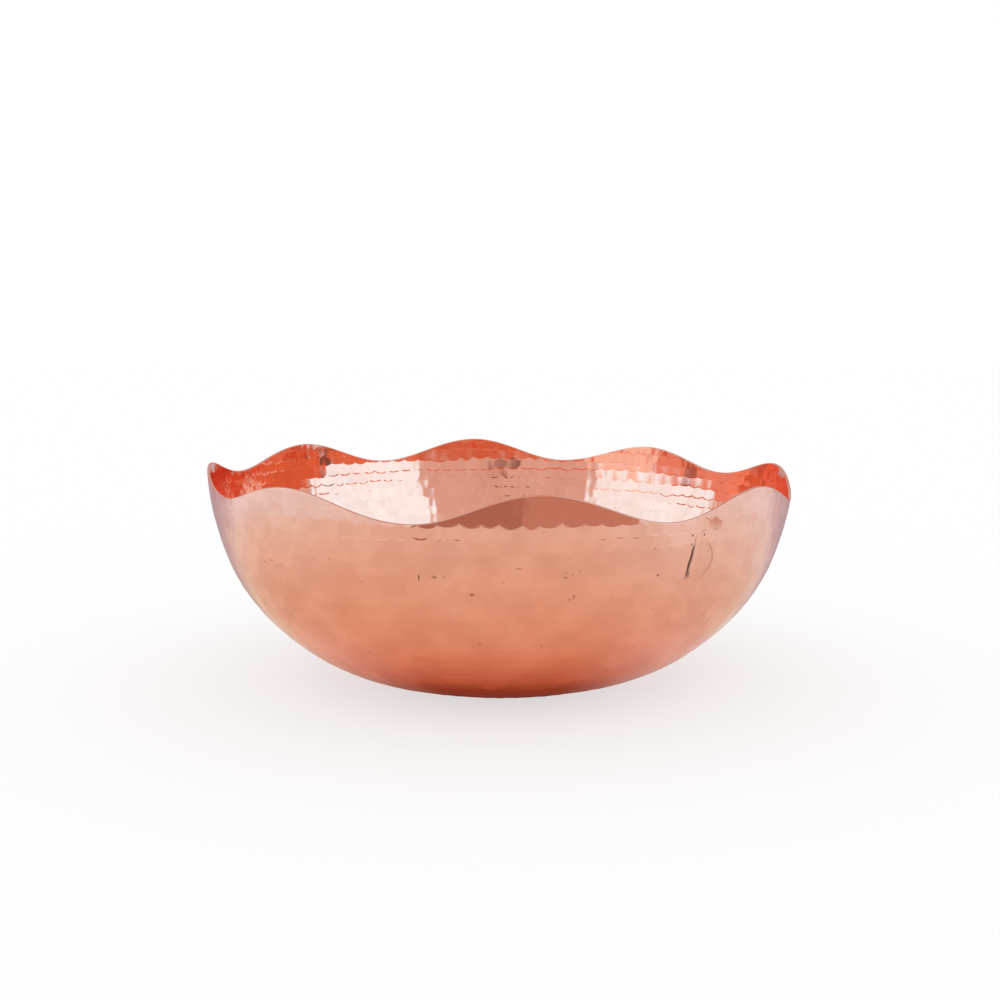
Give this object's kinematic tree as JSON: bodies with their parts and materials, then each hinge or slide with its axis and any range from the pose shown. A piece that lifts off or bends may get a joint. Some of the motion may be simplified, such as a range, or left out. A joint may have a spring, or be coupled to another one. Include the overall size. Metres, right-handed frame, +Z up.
{
  "type": "bowl",
  "caption": "Round hammered copper bowl with a flat base, a steep single-sheet wall and a waved rim; holds fruit, bread or water, or stands as decoration.",
  "frame": {"origin": "centre of the flat face that the bowl stands on", "axes": "+Z up along the bowl's axis, out of the open mouth; -Y is the front"},
  "size_m": [0.3033, 0.3037, 0.1124],
  "materials": {
    "hammered_bowl": "polished hammered copper, planished on both faces, with a bare cut edge"
  },
  "bodies": {
    "root": {"hammered_bowl": "hammered_bowl"}
  },
  "joints": []
}
